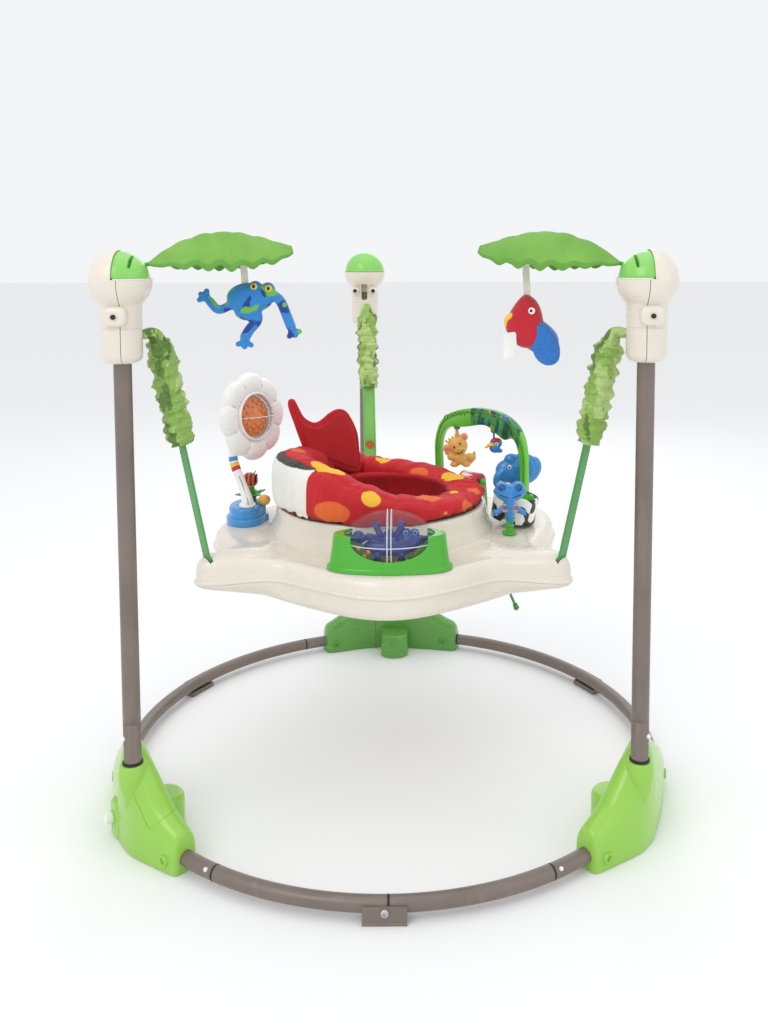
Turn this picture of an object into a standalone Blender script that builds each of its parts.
"""Activity jumper: a ring base with three uprights, and a toy tray with a turning seat hung from
three spring straps.

Units are metres, +Z is up and the child's front is towards -Y.  Places are given from the centre
of the base ring; the empty ring_centre carries that frame, shifted so that the whole object stands
centred on the world origin.  Angles are in degrees, measured from +X towards +Y.
"""
import bpy
import bmesh
from math import copysign, cos, degrees, exp, pi, radians, sin
from mathutils import Matrix, Vector

# ---------------------------------------------------------------- driving dimensions
RING_CENTRE_Y = -0.0241
GAP = 0.0003

RING_R = 0.440
RING_Z = 0.020
RING_TUBE_R = 0.011
RING_SIDES = 10
SOCKET_CLEARANCE = 0.0012
TUBE_WALL = 0.0012

UPRIGHT_R = 0.0125
UPRIGHT_RADIUS = 0.4645
UPRIGHT_ANGLE = {"left": 218.4, "right": 321.3, "rear": 97.8}
UPRIGHT_BOTTOM = 0.031
UPRIGHT_TOP = 0.7745

POD_NECK_R = 0.028
POD_BOTTOM = 0.704
POD_BALL_R = 0.043
POD_BALL_Z = 0.818
POD_MOUTH_Z = 0.820

SLEEVE_TOP_Z = 0.732
SLEEVE_STANDOFF = 0.0270
SLEEVE_SHARE = 0.46
SPRING_R = 0.0105
SPRING_WIRE_R = 0.0015
SPRING_TURNS = 7
SPRING_STEPS = 6
WEBBING_WIDTH = 0.025
WEBBING_THICKNESS = 0.0025
EAR_ANGLE = {"left": 217.5, "right": 321.5, "rear": 98.5}
EAR_HOLE_RADIUS = {"left": 0.340, "right": 0.334, "rear": 0.312}

TRAY_RADIUS = 0.262
TRAY_TOP = 0.3935
TRAY_LIP_Z = 0.3645
TRAY_BOTTOM = 0.331
TRAY_WALL = 0.003
EAR_RISE = 0.008
SEAT_CENTRE = Vector((-0.015, 0.0, 0.0))
COLLAR_R = 0.182
COLLAR_TOP = 0.4385
HOLE_R = 0.164

SEAT_FRONT = 320.0
PAD_HIGH_ANGLE = 215.0
LEG_SPREAD = 45.0
LEG_HOLE_R = 0.047
PAD_HOLE_R = 0.122
PAD_FULLNESS = 0.82

RATTLE_CENTRE = Vector((0.0035, -0.2320, 0.4385))
RATTLE_HALF_LENGTH = 0.0660
RATTLE_R = 0.0415

FLOWER_CENTRE = Vector((-0.2370, 0.048, 0.5730))
FLOWER_NORMAL = Vector((0.83, -0.55, 0.10)).normalized()
FLOWER_R = 0.0735
DOME_R = 0.038
PETALS = 8

ARCH_LEFT = Vector((0.085, 0.194, 0.0))
ARCH_RIGHT = Vector((0.241, 0.046, 0.0))
ARCH_THICKNESS = 0.012

LEAF_SPAN = 0.208
LEAF_TURN = 20.0

# ---------------------------------------------------------------- scene and helpers
for old in list(bpy.data.objects):
    bpy.data.objects.remove(old, do_unlink=True)

ring_centre = bpy.data.objects.new("ring_centre", None)
ring_centre.location = (0.0, RING_CENTRE_Y, 0.0)
bpy.context.scene.collection.objects.link(ring_centre)


def material(name, colour, roughness=0.4, metallic=0.0, alpha=1.0):
    found = bpy.data.materials.get(name)
    if found:
        return found
    made = bpy.data.materials.new(name)
    made.use_nodes = True
    shader = made.node_tree.nodes["Principled BSDF"]
    shader.inputs["Base Color"].default_value = (*colour, 1.0)
    shader.inputs["Roughness"].default_value = roughness
    shader.inputs["Metallic"].default_value = metallic
    shader.inputs["Alpha"].default_value = alpha
    return made


def polar(angle, radius, z=0.0):
    return Vector((radius * cos(radians(angle)), radius * sin(radians(angle)), z))


def add_object(name, bm, finish, origin=(0.0, 0.0, 0.0), sharp=35.0):
    """Make a named sub-part from bm, whose points are measured from the ring's centre."""
    bmesh.ops.recalc_face_normals(bm, faces=bm.faces)
    bmesh.ops.translate(bm, verts=bm.verts, vec=-Vector(origin))
    mesh = bpy.data.meshes.new(name)
    bm.to_mesh(mesh)
    bm.free()
    mesh.materials.append(finish)
    mesh.shade_smooth()
    mesh.set_sharp_from_angle(angle=radians(sharp))
    obj = bpy.data.objects.new(name, mesh)
    obj.location = origin
    obj.parent = ring_centre
    bpy.context.scene.collection.objects.link(obj)
    return obj


def combine(target, bm, operation, solver="EXACT"):
    """Cut, join or keep with a hidden tool body, by a Boolean modifier."""
    tool = add_object(target.name + "_tool", bm, target.data.materials[0])
    tool.hide_render = True
    tool.display_type = "WIRE"
    modifier = target.modifiers.new(operation.lower(), "BOOLEAN")
    modifier.operation = operation
    modifier.solver = solver
    modifier.object = tool
    return target


def loft(loops, closed=False):
    """Skin a row of loops that all have the same number of points; close it round or cap its ends."""
    bm = bmesh.new()
    rows = [[bm.verts.new(point) for point in loop] for loop in loops]
    count = len(rows[0])
    pairs = list(zip(rows, rows[1:]))
    if closed:
        pairs.append((rows[-1], rows[0]))
    for first, second in pairs:
        for i in range(count):
            j = (i + 1) % count
            bm.faces.new((first[i], first[j], second[j], second[i]))
    if not closed:
        bm.faces.new(rows[0])
        bm.faces.new(rows[-1])
    return bm


def turned(profile, segments, closed=False, frame=Matrix.Identity(4)):
    """Turn (radius, height) points about Z; closed joins the profile's ends, otherwise both lie on Z."""
    bm = bmesh.new()
    rows = []
    for radius, height in profile:
        if radius < 1e-9:
            rows.append([bm.verts.new((0.0, 0.0, height))])
        else:
            ring = [polar(360.0 * k / segments, radius, height) for k in range(segments)]
            rows.append([bm.verts.new(point) for point in ring])
    pairs = list(zip(rows, rows[1:]))
    if closed:
        pairs.append((rows[-1], rows[0]))
    for low, high in pairs:
        for i in range(segments):
            j = (i + 1) % segments
            corners = [low[i % len(low)], low[j % len(low)], high[j % len(high)], high[i % len(high)]]
            bm.faces.new(list(dict.fromkeys(corners)))
    bmesh.ops.transform(bm, matrix=frame, verts=bm.verts)
    return bm


def arc_points(centre_r, centre_z, radius, start, end, steps):
    """(radius, height) points of an arc in a turned profile."""
    angles = [radians(start + (end - start) * k / steps) for k in range(steps + 1)]
    return [(max(0.0, centre_r + radius * cos(a)), centre_z + radius * sin(a)) for a in angles]


def circle_loops(path, radii, sides, squash=1.0):
    """Round sections along a path, carried without twist; squash flattens them along the normal."""
    loops = []
    side = None
    for k, point in enumerate(path):
        ahead = path[min(k + 1, len(path) - 1)] - path[max(k - 1, 0)]
        ahead = ahead.normalized()
        if side is None:
            guess = Vector((0, 0, 1)) if abs(ahead.z) < 0.9 else Vector((1, 0, 0))
            side = ahead.cross(guess).normalized()
        side = (side - ahead * side.dot(ahead)).normalized()
        up = side.cross(ahead)
        turn = [2 * pi * i / sides for i in range(sides)]
        loops.append([point + side * (radii[k] * cos(a)) + up * (radii[k] * squash * sin(a)) for a in turn])
    return loops


def rod(path, radius, sides, squash=1.0):
    radii = radius if isinstance(radius, list) else [radius] * len(path)
    return loft(circle_loops(path, radii, sides, squash))


def tube(path, outer, inner, sides):
    """An open-ended hollow tube as one closed body: out along the outside and back along the bore."""
    outside = circle_loops(path, outer, sides)
    inside = circle_loops(path, inner, sides)
    bm = loft(outside + inside[::-1], closed=True)
    return bm


def slab(outline, low, high, frame=Matrix.Identity(4), taper=1.0):
    """A plate with the given (x, y) outline between two heights, its top scaled about the middle."""
    centre = Vector((sum(x for x, y in outline), sum(y for x, y in outline))) / len(outline)
    bottom = [Vector((x, y, low)) for x, y in outline]
    top = [Vector((centre.x + (x - centre.x) * taper, centre.y + (y - centre.y) * taper, high))
           for x, y in outline]
    bm = loft([bottom, top])
    bmesh.ops.transform(bm, matrix=frame, verts=bm.verts)
    return bm


def block(centre, size, turn=0.0, bevel=0.0):
    """A box with rounded edges, turned about Z."""
    bm = bmesh.new()
    bmesh.ops.create_cube(bm, size=1.0)
    bmesh.ops.scale(bm, vec=size, verts=bm.verts)
    if bevel:
        bmesh.ops.bevel(bm, geom=bm.edges[:], offset=bevel, segments=2, profile=0.6, affect="EDGES")
    bmesh.ops.rotate(bm, matrix=Matrix.Rotation(radians(turn), 3, "Z"), verts=bm.verts)
    bmesh.ops.translate(bm, vec=centre, verts=bm.verts)
    return bm


def ball(centre, radii, segments=16, rings=8, turn=0.0):
    bm = bmesh.new()
    bmesh.ops.create_uvsphere(bm, u_segments=segments, v_segments=rings, radius=1.0)
    bmesh.ops.scale(bm, vec=radii, verts=bm.verts)
    bmesh.ops.rotate(bm, matrix=Matrix.Rotation(radians(turn), 3, "Z"), verts=bm.verts)
    bmesh.ops.translate(bm, vec=centre, verts=bm.verts)
    return bm


def ellipse(centre, half_x, half_y, steps, turn=0.0):
    points = []
    for k in range(steps):
        x = half_x * cos(2 * pi * k / steps)
        y = half_y * sin(2 * pi * k / steps)
        c, s = cos(radians(turn)), sin(radians(turn))
        points.append((centre[0] + x * c - y * s, centre[1] + x * s + y * c))
    return points


def smooth_path(points, steps):
    """A Catmull-Rom curve through the points, with the given number of steps per stretch."""
    full = [points[0] * 2 - points[1]] + list(points) + [points[-1] * 2 - points[-2]]
    path = []
    for a, b, c, d in zip(full, full[1:], full[2:], full[3:]):
        for k in range(steps):
            t = k / steps
            path.append(0.5 * (2 * b + (c - a) * t + (2 * a - 5 * b + 4 * c - d) * t * t
                               + (3 * b - 3 * c + d - a) * t * t * t))
    return path + [points[-1]]


def frame_at(origin, z_axis, x_hint):
    """A matrix whose Z is z_axis and whose X is x_hint made square to it."""
    z = Vector(z_axis).normalized()
    x = Vector(x_hint)
    x = (x - z * x.dot(z)).normalized()
    y = z.cross(x)
    return Matrix.Translation(origin) @ Matrix((x, y, z)).transposed().to_4x4()


# ---------------------------------------------------------------- base ring
TAUPE = material("tube_paint", (0.18, 0.15, 0.13), 0.35, 0.3)
LIME = material("lime_plastic", (0.34, 0.62, 0.11), 0.3)
HUB_GREEN = material("hub_green_plastic", (0.16, 0.42, 0.09), 0.3)
IVORY = material("ivory_plastic", (0.80, 0.76, 0.68), 0.3)
WHITE = material("white_plastic", (0.88, 0.87, 0.84), 0.35)
STEEL = material("spring_steel", (0.6, 0.6, 0.6), 0.3, 1.0)

# One foot moulding: angle from its upright, crest height, half width, centre radius
FOOT_STATIONS = [
    (12.4, 0.044, 0.0175, 0.4400),
    (11.7, 0.056, 0.0215, 0.4400),
    (9.8, 0.064, 0.0240, 0.4405),
    (7.0, 0.077, 0.0265, 0.4430),
    (4.0, 0.102, 0.0290, 0.4470),
    (1.0, 0.129, 0.0300, 0.4510),
    (-3.2, 0.146, 0.0300, 0.4510),
    (-6.0, 0.142, 0.0285, 0.4480),
    (-11.3, 0.118, 0.0260, 0.4440),
    (-16.5, 0.090, 0.0240, 0.4410),
    (-21.5, 0.068, 0.0220, 0.4400),
    (-24.6, 0.057, 0.0200, 0.4400),
    (-25.6, 0.044, 0.0165, 0.4400),
]
NEAR_END = FOOT_STATIONS[0][0]
FAR_END = FOOT_STATIONS[-1][0]
SOCKET_DEPTH = 6.0
FOOT_WALL = 0.003
HAND = {"left": 1.0, "right": -1.0, "rear": 1.0}


def foot_section(side, offset, crest, half_width, centre_radius, shrink=0.0, floor=0.0):
    """An arch-topped section of a foot, square to the ring."""
    half = half_width - shrink
    shoulder = 0.45 * crest
    outline = [(centre_radius + half, floor), (centre_radius - half, floor)]
    for k in range(7):
        a = pi * k / 6
        outline.append((centre_radius - half * cos(a), shoulder + (crest - shrink - shoulder) * sin(a)))
    angle = UPRIGHT_ANGLE[side] + HAND[side] * offset
    return [polar(angle, radius, height) for radius, height in outline]


def foot_at(offset):
    """Crest, half width and centre radius of the foot at an angle between its stations."""
    for near, far in zip(FOOT_STATIONS, FOOT_STATIONS[1:]):
        if far[0] <= offset <= near[0]:
            t = (near[0] - offset) / (near[0] - far[0])
            return [a + (b - a) * t for a, b in zip(near[1:], far[1:])]
    raise ValueError("offset is outside the foot")


def foot_body(side):
    return loft([foot_section(side, *station) for station in FOOT_STATIONS])


def foot_cavity(side, start, end):
    """The open underside of a foot between two angles from its upright."""
    between = [s[0] for s in FOOT_STATIONS if end < s[0] < start]
    stations = [start] + between + [end]
    return loft([foot_section(side, offset, *foot_at(offset), FOOT_WALL, -0.005) for offset in stations])


def ring_arc(start, end, step=6.5):
    count = max(2, round(abs(end - start) / step))
    return [polar(start + (end - start) * k / count, RING_R, RING_Z) for k in range(count + 1)]


def hollow_out(foot, side, solver="EXACT"):
    """Open the underside, and bore the sockets for the upright and for the ring's two tubes."""
    combine(foot, foot_cavity(side, 11.0, 5.6), "DIFFERENCE", solver)
    combine(foot, foot_cavity(side, -5.0, -24.2), "DIFFERENCE", solver)
    top = polar(UPRIGHT_ANGLE[side], UPRIGHT_RADIUS, 0.20)
    bottom = polar(UPRIGHT_ANGLE[side], UPRIGHT_RADIUS, UPRIGHT_BOTTOM - 0.0005)
    combine(foot, rod([bottom, top], UPRIGHT_R + GAP, 16), "DIFFERENCE", solver)
    for end, depth in ((NEAR_END, -SOCKET_DEPTH - 0.5), (FAR_END, SOCKET_DEPTH + 0.5)):
        mouth = UPRIGHT_ANGLE[side] + HAND[side] * (end - depth * 0.4)
        inside = UPRIGHT_ANGLE[side] + HAND[side] * (end + depth)
        socket = rod(ring_arc(mouth, inside, 3.0), RING_TUBE_R + SOCKET_CLEARANCE, RING_SIDES)
        combine(foot, socket, "DIFFERENCE", solver)


def inner_block(side, offset, reach):
    """The rounded stabiliser on a foot's inner side, which stands on the floor."""
    angle = UPRIGHT_ANGLE[side] + HAND[side] * offset
    outline = []
    for k in range(7):
        a = radians(90.0 + 180.0 * k / 6)
        outline.append((reach + 0.024 + 0.024 * cos(a), 0.029 * sin(a)))
    outline += [(0.4250, -0.029), (0.4250, 0.029)]
    turn = Matrix.Rotation(radians(angle), 4, "Z")
    bm = slab(outline, 0.0, 0.046, turn, 0.92)
    return bm


def half_space(angle, sense):
    """A large wedge on one side of a radial plane, for splitting a foot into two shells."""
    start = radians(angle)
    reach = [0.36, 0.36, 0.56, 0.56]
    turns = [0.0, sense * 0.75, sense * 0.75, 0.0]
    outline = [(r * cos(start + t), r * sin(start + t)) for r, t in zip(reach, turns)]
    return slab(outline, -0.02, 0.25)


def tongue_tool(side, start, end, grow):
    """Plan outline of the rear shell: all of the foot behind start, and a tongue as far as end."""
    base = UPRIGHT_ANGLE[side]
    hand = HAND[side]
    half = TONGUE_HALF + grow
    start += degrees(grow / RING_R)
    behind = FAR_END - 4.0
    steps = 5
    along = [start + (end - start) * k / steps for k in range(steps + 1)]
    corners = [(behind, 0.36), (start, 0.36)]
    corners += [(offset, foot_at(offset)[2] - half) for offset in along]
    middle = foot_at(end)[2]
    for k in range(1, 8):
        a = radians(-90.0 + 22.5 * k)
        corners.append((end + degrees(half * cos(a) / middle), middle + half * sin(a)))
    corners += [(offset, foot_at(offset)[2] + half) for offset in reversed(along)]
    corners += [(start, 0.56), (behind, 0.56)]
    points = [polar(base + hand * offset, radius) for offset, radius in corners]
    return slab([(p.x, p.y) for p in points], -0.02, 0.25)


BLOCK_OFFSET = -5.9
BLOCK_RADIUS = 0.4735
BUTTON_Z = 0.029
SEAM_START = -7.6
SEAM_END = 5.2
TONGUE_HALF = 0.0225


def feet():
    front = add_object("foot_left_front_shell", foot_body("left"), LIME)
    hollow_out(front, "left")
    angle = UPRIGHT_ANGLE["left"] + BLOCK_OFFSET
    outer_block = block(polar(angle, BLOCK_RADIUS - 0.004, 0.0275), (0.028, 0.040, 0.049), angle, 0.004)
    combine(front, outer_block, "UNION")
    combine(front, inner_block("left", -5.0, 0.375), "UNION")
    hole = [polar(angle, BLOCK_RADIUS + 0.03, BUTTON_Z), polar(angle, BLOCK_RADIUS - 0.003, BUTTON_Z)]
    combine(front, rod(hole, 0.0085, 14), "DIFFERENCE")
    combine(front, tongue_tool("left", SEAM_START, SEAM_END, GAP), "DIFFERENCE")

    rear = add_object("foot_left_rear_shell", foot_body("left"), LIME)
    hollow_out(rear, "left")
    combine(rear, tongue_tool("left", SEAM_START, SEAM_END, 0.0), "INTERSECT")

    right = add_object("foot_right_shell", foot_body("right"), LIME)
    hollow_out(right, "right")
    combine(right, inner_block("right", -5.0, 0.375), "UNION")

    split = UPRIGHT_ANGLE["rear"] - 2.1
    hub_left = add_object("rear_hub_left_shell", foot_body("rear"), HUB_GREEN)
    hollow_out(hub_left, "rear", "MANIFOLD")
    combine(hub_left, half_space(split + 0.04, 1.0), "INTERSECT", "MANIFOLD")

    hub_right = add_object("rear_hub_right_shell", foot_body("rear"), HUB_GREEN)
    hollow_out(hub_right, "rear", "MANIFOLD")
    combine(hub_right, inner_block("rear", -7.6, 0.366), "UNION", "MANIFOLD")
    combine(hub_right, half_space(split - 0.04, -1.0), "INTERSECT", "MANIFOLD")

    inner = BLOCK_RADIUS + 0.002
    button = [polar(angle, inner, BUTTON_Z), polar(angle, inner + 0.017, BUTTON_Z)]
    add_object("release_button", rod(button, 0.0080, 14), WHITE, button[0])


def exit_angle(side, end, depth):
    return UPRIGHT_ANGLE[side] + HAND[side] * (end + depth)


def base_tubes():
    """Four arcs of tube; the two at the front are joined by a narrowed end inside the other's bore."""
    joint = 270.6
    bore = RING_TUBE_R - TUBE_WALL
    left_start = exit_angle("left", NEAR_END, -SOCKET_DEPTH)
    path = ring_arc(left_start, joint - 0.05) + ring_arc(joint + 0.05, joint + 2.6, 2.5)
    outer = [RING_TUBE_R] * (len(path) - 3) + [bore - SOCKET_CLEARANCE] * 3
    inner = [bore] * (len(path) - 3) + [bore - SOCKET_CLEARANCE - TUBE_WALL] * 3
    inner[-4] = inner[-1]
    add_object("ring_tube_front_left", tube(path, outer, inner, RING_SIDES), TAUPE)
    spans = {
        "ring_tube_front_right": (joint + 0.12, exit_angle("right", NEAR_END, -SOCKET_DEPTH)),
        "ring_tube_right": (exit_angle("right", FAR_END, SOCKET_DEPTH) - 360.0,
                            exit_angle("rear", FAR_END, SOCKET_DEPTH)),
        "ring_tube_left": (exit_angle("rear", NEAR_END, -SOCKET_DEPTH),
                           exit_angle("left", FAR_END, SOCKET_DEPTH)),
    }
    for name, (start, end) in spans.items():
        path = ring_arc(start, end)
        wall = [RING_TUBE_R] * len(path)
        add_object(name, tube(path, wall, [bore] * len(path), RING_SIDES), TAUPE)


def floor_brackets():
    """A bent saddle under the ring, screwed through the upright wall outside it."""
    grip = RING_TUBE_R + GAP
    profile = [(-0.009, 0.0), (0.0150, 0.0), (0.0150, 0.0018), (0.0138, 0.0030), (0.0138, 0.0245),
               (grip + 0.0002, 0.0245), (grip + 0.0002, 0.0085), (0.004, 0.0082), (-0.009, 0.0082)]
    for name, angle in (("front", 270.0), ("left_rear", 150.0), ("right_rear", 30.0)):
        loops = []
        for along in (-0.029, -0.010, 0.010, 0.029):
            turn = Matrix.Rotation(radians(angle), 4, "Z")
            loops.append([turn @ Vector((RING_R + u, along, z)) for u, z in profile])
        add_object("floor_bracket_" + name, loft(loops), TAUPE)


def uprights():
    for side, angle in UPRIGHT_ANGLE.items():
        foot = polar(angle, UPRIGHT_RADIUS, UPRIGHT_BOTTOM)
        head = polar(angle, UPRIGHT_RADIUS, UPRIGHT_TOP)
        bore = UPRIGHT_R - TUBE_WALL
        bm = tube([foot, head], [UPRIGHT_R] * 2, [bore] * 2, 16)
        add_object("upright_" + side, bm, TAUPE)


# ---------------------------------------------------------------- pods at the tops of the uprights
SOCKET_GREEN = material("socket_green", (0.27, 0.56, 0.16), 0.3)


def pod_profile(top_angle):
    """The pod's turned section up to an angle on its ball, with the upright's bore underneath."""
    bore = UPRIGHT_R + GAP
    points = [(0.0, 0.775), (bore, 0.775), (bore, POD_BOTTOM)]
    points += arc_points(POD_NECK_R - 0.012, POD_BOTTOM + 0.012, 0.012, -80.0, 0.0, 3)
    points.append((POD_NECK_R, 0.787))
    points += arc_points(0.0, POD_BALL_Z, POD_BALL_R, -42.0, top_angle, 7)
    return points


def pods():
    for side, facing in (("left", 1.0), ("right", -1.0)):
        centre = polar(UPRIGHT_ANGLE[side], UPRIGHT_RADIUS)
        place = Matrix.Translation(centre)
        pod = add_object("pod_" + side, turned(pod_profile(90.0), 20, False, place), IVORY)
        knob = centre + Vector((0.0, -0.0275, 0.770))
        combine(pod, block(knob, (0.032, 0.018, 0.027), 0.0, 0.0065), "UNION")
        mouth = centre + Vector((facing * 0.047, 0.0, POD_MOUTH_Z + 0.05))
        combine(pod, block(mouth, (0.1, 0.12, 0.1)), "DIFFERENCE")

        round_insert = ball(centre + Vector((0, 0, POD_BALL_Z)), (POD_BALL_R - 0.0025,) * 3, 20, 10)
        insert = add_object("leaf_socket_" + side, round_insert, SOCKET_GREEN)
        inside = centre + Vector((facing * (0.05 - 0.003 + GAP), 0.0, POD_MOUTH_Z + 0.05 + GAP))
        combine(insert, block(inside, (0.1, 0.12, 0.1)), "INTERSECT")

    centre = polar(UPRIGHT_ANGLE["rear"], UPRIGHT_RADIUS)
    place = Matrix.Translation(centre)
    profile = pod_profile(0.0) + [(0.0, POD_BALL_Z)]
    pod = add_object("pod_rear", turned(profile, 20, False, place), IVORY)
    for sign in (-1.0, 1.0):
        ear = centre + Vector((sign * 0.019, -0.024, 0.778))
        combine(pod, rod([ear, ear + Vector((0, -0.012, 0))], 0.008, 10), "UNION")
    base = POD_BALL_Z + GAP
    cap = [(0.0, base)] + arc_points(0.0, base, POD_BALL_R - 0.0005, 0.0, 90.0, 7)
    add_object("pod_cap_rear", turned(cap, 20, False, place), SOCKET_GREEN)


# ---------------------------------------------------------------- spring straps
CAMO = material("sleeve_fabric", (0.30, 0.45, 0.14), 0.7)
WEBBING = material("green_webbing", (0.10, 0.36, 0.08), 0.8)


def strap_line(side):
    """A strap's straight run, from the top of its sleeve beside the pod to the hole in its tray ear."""
    post = polar(UPRIGHT_ANGLE[side], UPRIGHT_RADIUS, SLEEVE_TOP_Z)
    hole = polar(EAR_ANGLE[side], EAR_HOLE_RADIUS[side], TRAY_TOP + EAR_RISE)
    outward = Vector((hole.x - post.x, hole.y - post.y, 0.0)).normalized()
    return post + outward * (POD_NECK_R + SLEEVE_STANDOFF), hole


def webbing_loops(side, start, end, margin=0.0):
    """Flat sections of webbing whose width lies along the tray's edge."""
    along = (end - start).normalized()
    flat = polar(EAR_ANGLE[side] + 90.0, 1.0)
    flat = (flat - along * flat.dot(along)).normalized()
    thin = along.cross(flat)
    half_w = flat * (WEBBING_WIDTH / 2 + margin)
    half_t = thin * (WEBBING_THICKNESS / 2 + margin)
    corners = [half_w + half_t, half_t - half_w, -half_w - half_t, half_w - half_t]
    return [[point + corner for corner in corners] for point in (start, start.lerp(end, 0.5), end)]


def straps():
    for side in UPRIGHT_ANGLE:
        top, hole = strap_line(side)
        along = (hole - top).normalized()
        length = SLEEVE_SHARE * (hole - top).length

        shape = [(0.000, 0.0150), (0.06, 0.0190), (0.20, 0.0225), (0.45, 0.0210), (0.70, 0.0225),
                 (0.92, 0.0205), (1.000, 0.0160)]
        path = [top + along * (t * length) for t, r in shape]
        bm = tube(path, [r for t, r in shape], [0.0135] * len(shape), 10)
        add_object("sleeve_" + side, bm, CAMO)

        wire = []
        across = along.cross(Vector((0, 0, 1))).normalized()
        other = along.cross(across)
        steps = SPRING_TURNS * SPRING_STEPS
        for k in range(steps + 1):
            turn = 2 * pi * k / SPRING_STEPS
            down = 0.008 + (length - 0.032) * k / steps
            wire.append(top + along * down + (across * cos(turn) + other * sin(turn)) * SPRING_R)
        add_object("spring_" + side, rod(wire, SPRING_WIRE_R, 4), STEEL)

        start = top + along * (length - 0.018)
        add_object("strap_" + side, loft(webbing_loops(side, start, hole + along * 0.012)), WEBBING)


# ---------------------------------------------------------------- tray
TRAY_BUMPS = [(270.0, 0.029, 20.0), (182.0, 0.038, 24.0), (22.0, 0.038, 26.0)]
EAR_BUMPS = [
    (EAR_ANGLE["left"], 0.094, 8.0),
    (EAR_ANGLE["right"], 0.089, 8.0),
    (EAR_ANGLE["rear"], 0.070, 9.0),
]
TRAY_SEGMENTS = 50


def bump(angle, centre, width):
    away = (angle - centre + 180.0) % 360.0 - 180.0
    return exp(-(away / width) ** 2)


def tray_edge(angle, ear_share=1.0):
    """The tray's outline; the ears shrink with ear_share, as they do towards the tray's underside."""
    round_part = sum(height * bump(angle, centre, width) for centre, height, width in TRAY_BUMPS)
    ears = sum(height * bump(angle, centre, width) for centre, height, width in EAR_BUMPS)
    return TRAY_RADIUS + round_part + ears * ear_share


def ear_rise(angle):
    return EAR_RISE * sum(bump(angle, centre, width) for centre, height, width in EAR_BUMPS)


def tray_ring(profile):
    """Carry a section round the tray; its points lie in from the edge, or out from the seat's collar.

    An edge point's last number is the share of the ears' rise that it takes above the lip, and one
    less than the share of the ears' length that it takes below it.
    """
    loops = []
    for k in range(TRAY_SEGMENTS):
        angle = 360.0 * k / TRAY_SEGMENTS
        rise = ear_rise(angle)
        loop = []
        for place, offset, z, lift in profile:
            if place == "edge":
                radius = tray_edge(angle, 1.0 + min(0.0, lift)) - offset
                loop.append(polar(angle, radius, z + rise * max(0.0, lift)))
            else:
                loop.append(SEAT_CENTRE + polar(angle, COLLAR_R + offset, z))
        loops.append(loop)
    return loft(loops, closed=True)


def tray():
    wall = TRAY_WALL
    top = [("edge", 0.0, TRAY_LIP_Z, 0.0), ("edge", 0.0, TRAY_LIP_Z + 0.004, 0.0),
           ("edge", 0.0028, TRAY_LIP_Z + 0.0055, 0.0), ("edge", 0.0050, TRAY_TOP - 0.0110, 0.7),
           ("edge", 0.0100, TRAY_TOP - 0.0035, 1.0), ("edge", 0.0200, TRAY_TOP, 1.0),
           ("collar", 0.0120, TRAY_TOP, 0.0), ("collar", 0.0020, TRAY_TOP + 0.0070, 0.0),
           ("collar", -0.0050, COLLAR_TOP - 0.0040, 0.0), ("collar", -0.0090, COLLAR_TOP, 0.0),
           ("collar", -0.0160, COLLAR_TOP, 0.0), ("collar", HOLE_R - COLLAR_R, COLLAR_TOP - 0.0040, 0.0),
           ("collar", HOLE_R - COLLAR_R, TRAY_LIP_Z + 0.002, 0.0),
           ("collar", HOLE_R - COLLAR_R + wall, TRAY_LIP_Z + 0.002, 0.0),
           ("collar", HOLE_R - COLLAR_R + wall, COLLAR_TOP - 0.0050, 0.0),
           ("collar", -0.0085, COLLAR_TOP - 0.0060, 0.0), ("collar", -0.0010, TRAY_TOP + 0.0040, 0.0),
           ("collar", 0.0120, TRAY_TOP - wall, 0.0), ("edge", 0.0210, TRAY_TOP - wall, 1.0),
           ("edge", 0.0080, TRAY_TOP - 0.0120, 0.7), ("edge", 0.0058, TRAY_LIP_Z, 0.0)]
    tray_top = add_object("tray_top", tray_ring(top), IVORY)

    low = TRAY_BOTTOM
    inner = HOLE_R - COLLAR_R
    bottom = [("edge", 0.0030, TRAY_LIP_Z - GAP, 0.0), ("edge", 0.0035, TRAY_LIP_Z - 0.009, -0.12),
              ("edge", 0.0040, low + 0.012, -0.6), ("edge", 0.0070, low + 0.003, -0.95),
              ("edge", 0.0170, low, -1.0),
              ("collar", inner + 0.006, low, 0.0), ("collar", inner, low + 0.004, 0.0),
              ("collar", inner, TRAY_LIP_Z + 0.0015, 0.0), ("collar", inner + wall, TRAY_LIP_Z + 0.0015, 0.0),
              ("collar", inner + wall + 0.002, low + wall, 0.0), ("edge", 0.0180, low + wall, -1.0),
              ("edge", 0.0085, low + 0.0145, -0.6), ("edge", 0.0068, TRAY_LIP_Z - 0.009, -0.12),
              ("edge", 0.0062, TRAY_LIP_Z - GAP, 0.0)]
    tray_bottom = add_object("tray_bottom", tray_ring(bottom), IVORY)

    for side in UPRIGHT_ANGLE:
        top_point, hole = strap_line(side)
        along = (hole - top_point).normalized()
        slot = webbing_loops(side, hole - along * 0.02, hole + along * 0.014, 0.0015)
        combine(tray_top, loft(slot), "DIFFERENCE")

    hole = [Vector((*LIZARD_PLACE.xy, TRAY_TOP + 0.01)), Vector((*LIZARD_PLACE.xy, TRAY_BOTTOM - 0.01))]
    combine(tray_top, rod(hole, CORD_R + 0.0018, 12), "DIFFERENCE")
    combine(tray_bottom, rod(hole, CORD_R + 0.0018, 12), "DIFFERENCE")


# ---------------------------------------------------------------- seat
SEAT_RED = material("seat_red_fabric", (0.60, 0.03, 0.04), 0.85)
SEAT_BROWN = material("seat_check_fabric", (0.13, 0.04, 0.03), 0.85)
DARK = material("dark_plastic", (0.10, 0.09, 0.09), 0.5)


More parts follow.
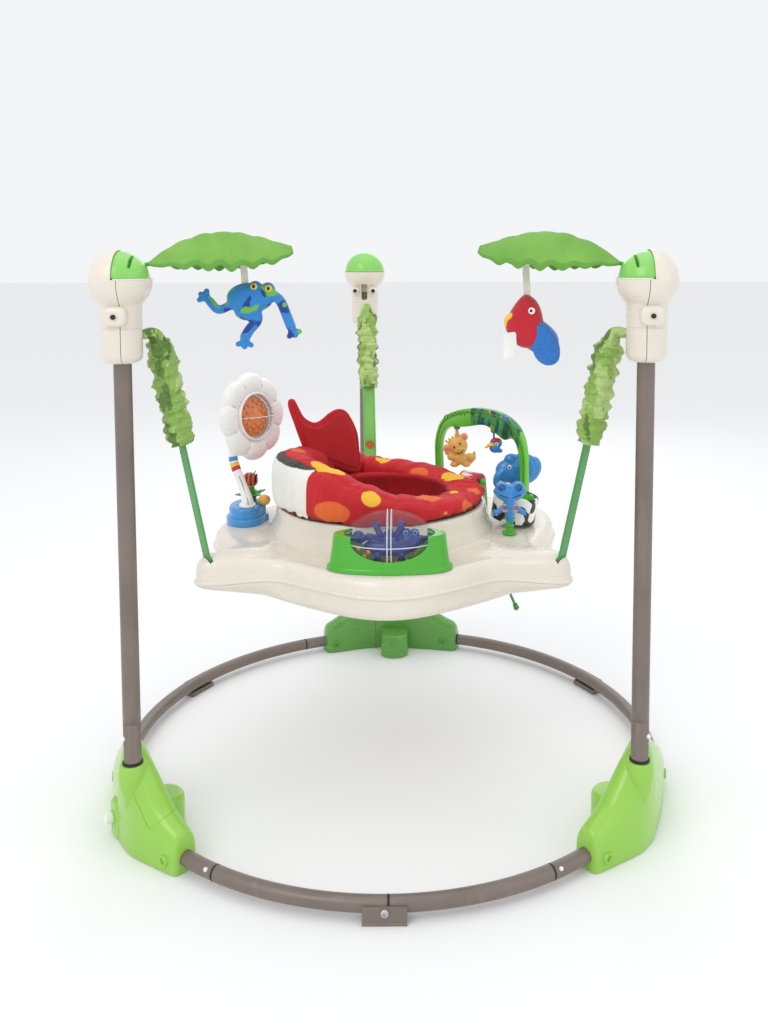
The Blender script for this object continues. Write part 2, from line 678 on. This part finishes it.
def pad_section(angle):
    """Outer radius, bottom and top of the padded collar, which stands higher on one side."""
    raised = 0.5 + 0.5 * cos(radians(angle - PAD_HIGH_ANGLE))
    return 0.170 + 0.014 * raised, 0.4475, 0.466 + 0.066 * raised ** 1.1


def seat():
    ring = [(0.150, 0.405), (HOLE_R - 0.001, 0.405), (HOLE_R - 0.001, COLLAR_TOP + GAP),
            (0.1795, COLLAR_TOP + GAP), (0.1795, COLLAR_TOP + 0.0045), (0.150, COLLAR_TOP + 0.0045)]
    place = Matrix.Translation(SEAT_CENTRE)
    add_object("seat_ring", turned(ring, 32, True, place), DARK, SEAT_CENTRE)
    seat_pad()
    seat_bucket(place)
    seat_back_flap()


def seat_pad():
    loops = []
    for k in range(30):
        angle = 12.0 * k
        outer, low, high = pad_section(angle)
        inner = PAD_HOLE_R
        middle = (outer + inner) / 2
        half_r = (outer - inner) / 2
        half_z = (high - low) / 2
        loop = []
        for i in range(10):
            a = 2 * pi * i / 10 + pi / 10
            x = half_r * copysign(abs(cos(a)) ** PAD_FULLNESS, cos(a))
            z = half_z * copysign(abs(sin(a)) ** PAD_FULLNESS, sin(a))
            loop.append(SEAT_CENTRE + polar(angle, middle + x, (high + low) / 2 + z))
        loops.append(loop)
    add_object("seat_pad", loft(loops, closed=True), SEAT_RED, SEAT_CENTRE)


def seat_bucket(place):
    outside = [(0.1485, 0.4425), (0.145, 0.40), (0.136, 0.35), (0.120, 0.305), (0.092, 0.268), (0.050, 0.250),
               (0.0, 0.247)]
    inside = [(0.0, 0.2505), (0.049, 0.2535), (0.0895, 0.271), (0.117, 0.3065), (0.133, 0.351),
              (0.142, 0.4005), (0.1455, 0.4425)]
    bucket = add_object("seat_bucket", turned_shell(outside, inside, 22, place), SEAT_BROWN, SEAT_CENTRE)
    for sign in (-1.0, 1.0):
        out = polar(SEAT_FRONT + sign * LEG_SPREAD, 1.0)
        inside = SEAT_CENTRE + out * 0.08 + Vector((0, 0, 0.302))
        outside_point = inside + out * 0.12 + Vector((0, 0, -0.012))
        combine(bucket, rod([inside, outside_point], LEG_HOLE_R, 16), "DIFFERENCE")


def seat_back_flap():
    """The two-horned panel that stands up from the pad behind the child."""
    left = Vector((-0.1655, 0.050, 0.0))
    right = Vector((-0.062, 0.122, 0.0))
    along = (right - left).normalized()
    width = (right - left).length
    frame = Matrix((along, Vector((0, 0, 1)), along.cross(Vector((0, 0, 1))))).transposed().to_4x4()
    frame = Matrix.Translation(left) @ frame
    outline = [(0.014, 0.521), (0.002, 0.568), (-0.006, 0.600), (0.006, 0.601), (0.028, 0.575),
               (0.050, 0.562), (0.066, 0.572), (0.084, 0.590), (0.100, 0.588), (0.112, 0.566),
               (width, 0.520), (width, 0.494), (0.085, 0.505), (0.050, 0.514)]
    add_object("seat_back_flap", slab(outline, -0.006, 0.006, frame), SEAT_RED, SEAT_CENTRE)


def turned_shell(outside, inside, segments, frame):
    """A turned cup whose outside ends on the axis and whose inside starts there; one closed body."""
    bm = turned(outside, segments, False, frame)
    inner = turned(inside, segments, False, frame)
    joined = bpy.data.meshes.new("shell")
    inner.to_mesh(joined)
    inner.free()
    bm.from_mesh(joined)
    bpy.data.meshes.remove(joined)
    open_edges = [edge for edge in bm.edges if edge.is_boundary]
    bmesh.ops.bridge_loops(bm, edges=open_edges)
    return bm


# ---------------------------------------------------------------- rattle
CRADLE_GREEN = material("cradle_green", (0.10, 0.52, 0.04), 0.3)
CLEAR = material("clear_plastic", (0.85, 0.92, 0.95), 0.05, 0.0, 0.3)
NAVY = material("navy_plastic", (0.03, 0.06, 0.25), 0.35)


def rattle():
    """An egg of clear plastic on an axle along X, held between the horns of a boat-shaped cradle."""
    x_axis = frame_at(RATTLE_CENTRE, (1, 0, 0), (0, 0, 1))
    hole = 0.0042
    angles = [radians(19.5 * k) for k in range(-4, 5)]
    shell = [(RATTLE_R * cos(a), RATTLE_HALF_LENGTH * sin(a)) for a in angles]
    thin = 0.0018
    inner = [((RATTLE_R - thin) * cos(a), (RATTLE_HALF_LENGTH - thin) * sin(a)) for a in reversed(angles)]
    tip = RATTLE_HALF_LENGTH - 0.0004
    profile = [(hole, -tip)] + shell + [(hole, tip), (hole, tip - thin)] + inner + [(hole, thin - tip)]
    add_object("rattle_shell", turned(profile, 18, True, x_axis), CLEAR, RATTLE_CENTRE)

    core = [(0.0, -0.079), (0.0034, -0.079), (0.0034, -0.056), (0.016, -0.050), (0.032, -0.010),
            (0.032, 0.010), (0.016, 0.050), (0.0034, 0.056), (0.0034, 0.079), (0.0, 0.079)]
    add_object("rattle_core", turned(core, 14, False, x_axis), NAVY, RATTLE_CENTRE)

    base = TRAY_TOP + GAP
    low = ellipse((RATTLE_CENTRE.x, RATTLE_CENTRE.y), 0.0930, 0.0365, 24)
    shape = slab(low, base, RATTLE_CENTRE.z + 0.008, Matrix.Identity(4), 0.88)
    cradle = add_object("rattle_cradle", shape, CRADLE_GREEN)
    room = RATTLE_R + 0.0015
    combine(cradle, ball(RATTLE_CENTRE, (RATTLE_HALF_LENGTH + 0.002, room, room), 20, 12), "DIFFERENCE")
    pin = [RATTLE_CENTRE + Vector((x, 0, 0)) for x in (-0.0800, 0.0800)]
    combine(cradle, rod(pin, 0.0042, 12), "DIFFERENCE")


# ---------------------------------------------------------------- flower
BASE_BLUE = material("base_blue", (0.05, 0.26, 0.66), 0.3)
ORANGE = material("orange_plastic", (0.85, 0.32, 0.05), 0.35)
TAN = material("tan_plastic", (0.82, 0.46, 0.13), 0.4)
FLOWER_BASE = Vector((-0.2490, 0.030, 0.0))
BUG_PLACE = Vector((-0.250, 0.063, 0.4565))
BUG_R = 0.0145


def flower():
    outline = ellipse((FLOWER_BASE.x, FLOWER_BASE.y), 0.0360, 0.048, 22)
    block_up = slab(outline, TRAY_TOP + GAP, 0.424, Matrix.Identity(4), 0.82)
    base = add_object("flower_base", block_up, BASE_BLUE)
    stalk = [Vector((*BUG_PLACE.xy, 0.42)), Vector((*BUG_PLACE.xy, BUG_PLACE.z - BUG_R - 0.0008))]
    combine(base, rod(stalk, [0.013, 0.009], 12), "UNION")

    place = Matrix.Translation(BUG_PLACE)
    bug = arc_points(0.0, 0.0, BUG_R, -90.0, 90.0, 8)
    add_object("striped_bug", turned(bug, 14, False, place), ORANGE, BUG_PLACE)

    nub = Vector((-0.2200, 0.030, 0.4290))
    combine(base, ball(nub, (0.011, 0.011, 0.0095), 12, 8), "UNION")

    frame = frame_at(FLOWER_CENTRE, FLOWER_NORMAL, (0.7, 0.7, 0.0))
    outline = []
    for k in range(48):
        a = 2 * pi * k / 48
        radius = FLOWER_R + 0.0035 * cos(PETALS * a)
        outline.append((radius * cos(a), radius * sin(a)))
    disc = add_object("flower_disc", slab(outline, -0.012, 0.006, frame, 0.93), WHITE)
    seat_cut = [FLOWER_CENTRE + FLOWER_NORMAL * d for d in (-0.006, 0.02)]
    combine(disc, rod(seat_cut, DOME_R + 0.0006, 20), "DIFFERENCE")

    dome = arc_points(0.0, -0.004, DOME_R, 6.0, 84.0, 5) + [(0.0035, -0.004 + DOME_R)]
    inside = [(0.0035, -0.0058 + DOME_R)] + arc_points(0.0, -0.004, DOME_R - 0.0018, 84.0, 6.0, 5)
    add_object("flower_dome", turned(dome + inside, 18, True, frame), CLEAR, FLOWER_CENTRE)
    heart = [(0.0, -0.0050), (0.0345, -0.0050), (0.0345, -0.0020), (0.012, 0.004), (0.0, 0.006)]
    add_object("flower_heart", turned(heart, 20, False, frame), ORANGE, FLOWER_CENTRE)

    behind_disc = FLOWER_CENTRE - FLOWER_NORMAL * 0.0215 + Vector((-0.018, -0.026, -0.030))
    points = [Vector((-0.2455, 0.008, 0.4245)), Vector((-0.2460, 0.009, 0.436)),
              Vector((-0.2555, 0.018, 0.460)), Vector((-0.2720, 0.030, 0.500)), behind_disc]
    path = smooth_path(points, 4)
    radii = [0.0120 - 0.0045 * min(1.0, 2.2 * k / len(path)) for k in range(len(path))]
    add_object("flower_arm", rod(path, radii, 10), WHITE)


# ---------------------------------------------------------------- arch and its toys
ARCH_GREEN = material("arch_green", (0.13, 0.50, 0.04), 0.3)
RED = material("red_plastic", (0.62, 0.04, 0.05), 0.35)
SPOTTED = material("spotted_plastic", (0.80, 0.80, 0.76), 0.5)
TOY_BLUE = material("toy_blue", (0.03, 0.22, 0.55), 0.2)
ARCH_ALONG = (ARCH_RIGHT - ARCH_LEFT).normalized()
ARCH_OUT = Vector((-ARCH_ALONG.y, ARCH_ALONG.x, 0.0))
ARCH_SPAN = (ARCH_RIGHT - ARCH_LEFT).length
DRUM_PLACE = Vector((0.2125, 0.000, 0.4238))
DRUM_R = 0.038
DRUM_HALF = 0.0225
DRUM_LEAN = 9.0
ELEPHANT_PLACE = Vector((0.2265, 0.0800, 0.4650))


def on_arch(along, z, out=0.0):
    return ARCH_LEFT + ARCH_ALONG * along + ARCH_OUT * out + Vector((0, 0, z))


def arch():
    foot = TRAY_TOP + GAP
    outline = [(0.0, foot), (0.0, 0.505), (0.018, 0.545), (0.060, 0.567), (0.115, 0.575), (0.165, 0.568),
               (0.198, 0.545), (0.212, 0.505), (ARCH_SPAN, foot), (ARCH_SPAN - 0.013, foot), (0.199, 0.495),
               (0.186, 0.527), (0.165, 0.524), (0.148, 0.532), (0.120, 0.545), (0.075, 0.537),
               (0.030, 0.529), (0.013, 0.500), (0.013, foot)]
    frame = Matrix((ARCH_ALONG, Vector((0, 0, 1)), -ARCH_OUT)).transposed().to_4x4()
    frame = Matrix.Translation(ARCH_LEFT) @ frame
    half = ARCH_THICKNESS / 2
    add_object("toy_arch", slab(outline, -half, half, frame), ARCH_GREEN)


def hanging_toy(name, along, top, low, half_width, half_depth, finish):
    """A bead-shaped toy on a short strap under the arch, with its origin at the top of the strap."""
    pivot = on_arch(along, top)
    shape = [(top, 0.10, 0.25), (top - 0.010, 0.10, 0.25), (top - 0.0125, 0.45, 0.7)]
    body_top = top - 0.0125
    for t, w in ((0.22, 0.92), (0.48, 1.0), (0.75, 0.88), (0.93, 0.55), (1.0, 0.3)):
        shape.append((body_top + (low - body_top) * t, w, w ** 0.5))
    loops = []
    for z, w, d in shape:
        loop = []
        for k in range(12):
            a = 2 * pi * k / 12
            loop.append(Vector((pivot.x + half_width * w * cos(a), pivot.y + half_depth * d * sin(a), z)))
        loops.append(loop)
    add_object(name, loft(loops), finish, pivot)


def arch_toys():
    hanging_toy("monkey", 0.050, 0.5300, 0.4565, 0.0310, 0.0120, TAN)
    hanging_toy("toucan", 0.138, 0.5345, 0.4955, 0.0180, 0.0080, RED)

    centre = on_arch(0.085, 0.4370, 0.002)
    frame = frame_at(centre, ARCH_ALONG, (0, 0, 1))
    roller = [(0.0024, -0.022), (0.014, -0.022), (0.0165, -0.018), (0.0165, 0.018), (0.014, 0.022),
              (0.0024, 0.022)]
    add_object("roller_drum", turned(roller, 18, True, frame), RED, centre)
    foot = TRAY_TOP + GAP - centre.z
    outline = [(-0.0315, foot), (0.0315, foot), (0.0315, -0.030), (0.0275, 0.006), (0.0235, 0.006),
               (0.0235, -0.0345), (-0.0235, -0.0345), (-0.0235, 0.006), (-0.0275, 0.006), (-0.0315, -0.030)]
    upright_plane = Matrix((ARCH_ALONG, Vector((0, 0, 1)), -ARCH_OUT)).transposed().to_4x4()
    stand = slab(outline, -0.007, 0.007, Matrix.Translation(centre) @ upright_plane)
    bracket = add_object("roller_stand", stand, ARCH_GREEN)
    pin = [centre + ARCH_ALONG * x for x in (-0.0272, 0.0272)]
    combine(bracket, rod(pin, 0.0020, 10), "UNION")

    lean = Vector((sin(radians(DRUM_LEAN)), 0.0, cos(radians(DRUM_LEAN))))
    frame = frame_at(DRUM_PLACE, lean, (1, 0, 0))
    drum = [(0.0, -DRUM_HALF), (DRUM_R - 0.003, -DRUM_HALF), (DRUM_R, -DRUM_HALF + 0.003),
            (DRUM_R, DRUM_HALF - 0.003), (DRUM_R - 0.003, DRUM_HALF), (DRUM_R - 0.006, DRUM_HALF - 0.002),
            (DRUM_R - 0.008, 0.004), (0.0, 0.002)]
    add_object("spotted_drum", turned(drum, 20, False, frame), SPOTTED, DRUM_PLACE)

    body = ball(ELEPHANT_PLACE, (0.0445, 0.0145, 0.0365), 16, 10)
    elephant = add_object("elephant_bulb", body, TOY_BLUE)
    under = ELEPHANT_PLACE.xy
    neck = [Vector((*under, TRAY_TOP + GAP)), Vector((*under, ELEPHANT_PLACE.z - 0.02))]
    combine(elephant, rod(neck, [0.0120, 0.0125], 12), "UNION")


# ---------------------------------------------------------------- lizard teether and its cord
LIZARD_PLACE = Vector((0.1975, -0.0620, 0.0))
CORD_R = 0.0022


def lizard():
    """A flat teether on a stem, with the tail of its cord hanging through the tray to a knot."""
    x0, y0 = LIZARD_PLACE.xy
    shape = [(TRAY_TOP + 0.0006, 0.012, 0.010), (TRAY_TOP + 0.004, 0.012, 0.010),
             (TRAY_TOP + 0.0055, 0.006, 0.006), (0.412, 0.0065, 0.006), (0.4135, 0.010, 0.009),
             (0.428, 0.014, 0.0105), (0.444, 0.017, 0.0115), (0.456, 0.024, 0.0120),
             (0.466, 0.029, 0.0125), (0.476, 0.026, 0.0115), (0.482, 0.014, 0.007)]
    loops = []
    for z, half_x, half_y in shape:
        loops.append([Vector((x, y, z)) for x, y in ellipse((x0, y0), half_x, half_y, 14)])
    add_object("lizard_teether", loft(loops), TOY_BLUE)

    route = [Vector((x0, y0, TRAY_TOP)), Vector((x0, y0, 0.360)), Vector((x0, y0, 0.325)),
             Vector((x0, y0, 0.301)), Vector((x0 + 0.003, y0, 0.290)), Vector((x0 + 0.009, y0, 0.276))]
    curve = bpy.data.curves.new("lizard_cord", "CURVE")
    curve.dimensions = "3D"
    curve.bevel_depth = CORD_R
    curve.bevel_resolution = 2
    curve.use_fill_caps = True
    curve.materials.append(WEBBING)
    spline = curve.splines.new("POLY")
    points = smooth_path(route, 2)
    spline.points.add(len(points) - 1)
    for knot, point in zip(spline.points, points):
        knot.co = (*point, 1.0)
    cord = bpy.data.objects.new("lizard_cord", curve)
    cord.parent = ring_centre
    bpy.context.scene.collection.objects.link(cord)

    end = route[-1]
    down = (route[-1] - route[-2]).normalized()
    knot_at = end + down * (0.0058 + GAP)
    add_object("lizard_cord_knot", ball(knot_at, (0.0058, 0.0050, 0.0058), 12, 8), WEBBING)


# ---------------------------------------------------------------- leaves and the toys under them
LEAF_GREEN = material("leaf_green", (0.22, 0.48, 0.08), 0.7)
FROG_BLUE = material("frog_blue", (0.06, 0.33, 0.75), 0.8)
PARROT_RED = material("parrot_red", (0.66, 0.04, 0.08), 0.8)


def leaf_point(side, t, across, facing, drop=0.0):
    """A point of the leaf: t runs from root to tip, across from -1 to 1 over its breadth."""
    centre = polar(UPRIGHT_ANGLE[side], UPRIGHT_RADIUS)
    heading = Vector((facing * cos(radians(LEAF_TURN)), sin(radians(LEAF_TURN)), 0.0))
    square = Vector((-heading.y, heading.x, 0.0)) * facing
    reach = 0.0425 + LEAF_SPAN * t - 0.006 * (1 - t)
    crest = 0.842 + 0.148 * t * (1 - t) ** 1.25 + 0.016 * t
    half = 0.004 + 0.050 * sin(pi * min(1.0, t * 0.94 + 0.02)) ** 0.75
    droop = 0.050 * sin(pi * min(1.0, t * 0.96)) ** 0.8 * abs(across) ** 1.5
    return centre + heading * reach + square * (half * across) + Vector((0, 0, crest - droop - drop))


def leaves():
    thickness = 0.0024
    crosses = [-1.0, -0.72, -0.38, 0.0, 0.38, 0.72, 1.0]
    for side, facing in (("left", 1.0), ("right", -1.0)):
        loops = []
        for k in range(11):
            t = k / 10
            upper = [leaf_point(side, t, c, facing) for c in crosses]
            lower = [leaf_point(side, t, c * 0.995, facing, thickness) for c in reversed(crosses)]
            loops.append(upper + lower)
        pivot = polar(UPRIGHT_ANGLE[side], UPRIGHT_RADIUS, POD_BALL_Z)
        add_object("leaf_" + side, loft(loops), LEAF_GREEN, pivot)


def plush(name, side, facing, t, outline, half_depth, finish, ribbon):
    """A flat stuffed toy hung on a ribbon, whose outline is (x, z) about the hanging point."""
    hang = leaf_point(side, t, 0.0, facing, 0.0055)
    loops = []
    for y in (-half_depth, half_depth):
        loops.append([hang + Vector((x, y, z)) for x, z in outline])
    toy = add_object(name, loft(loops), finish, hang)
    strip = block(hang + Vector((0, 0, -ribbon / 2)), (0.010, 0.0016, ribbon))
    combine(toy, strip, "UNION")


def leaf_toys():
    frog = [(-0.006, -0.066), (0.026, -0.064), (0.044, -0.070), (0.056, -0.092), (0.080, -0.128),
            (0.070, -0.146), (0.056, -0.138), (0.040, -0.094), (0.022, -0.092), (0.024, -0.128),
            (0.008, -0.156), (-0.008, -0.150), (0.004, -0.114), (-0.030, -0.124), (-0.044, -0.104),
            (-0.060, -0.084), (-0.056, -0.076), (-0.030, -0.082)]
    plush("frog", "left", 1.0, 0.66, frog, 0.013, FROG_BLUE, 0.078)
    parrot = [(-0.004, -0.082), (0.010, -0.088), (0.022, -0.104), (0.026, -0.128), (0.046, -0.160),
              (0.048, -0.186), (0.016, -0.186), (-0.010, -0.172), (-0.014, -0.154), (-0.036, -0.178),
              (-0.030, -0.140), (-0.016, -0.106)]
    plush("parrot", "right", -1.0, 0.66, parrot, 0.015, PARROT_RED, 0.096)


feet()
base_tubes()
floor_brackets()
uprights()
pods()
straps()
tray()
seat()
rattle()
flower()
arch()
arch_toys()
lizard()
leaves()
leaf_toys()
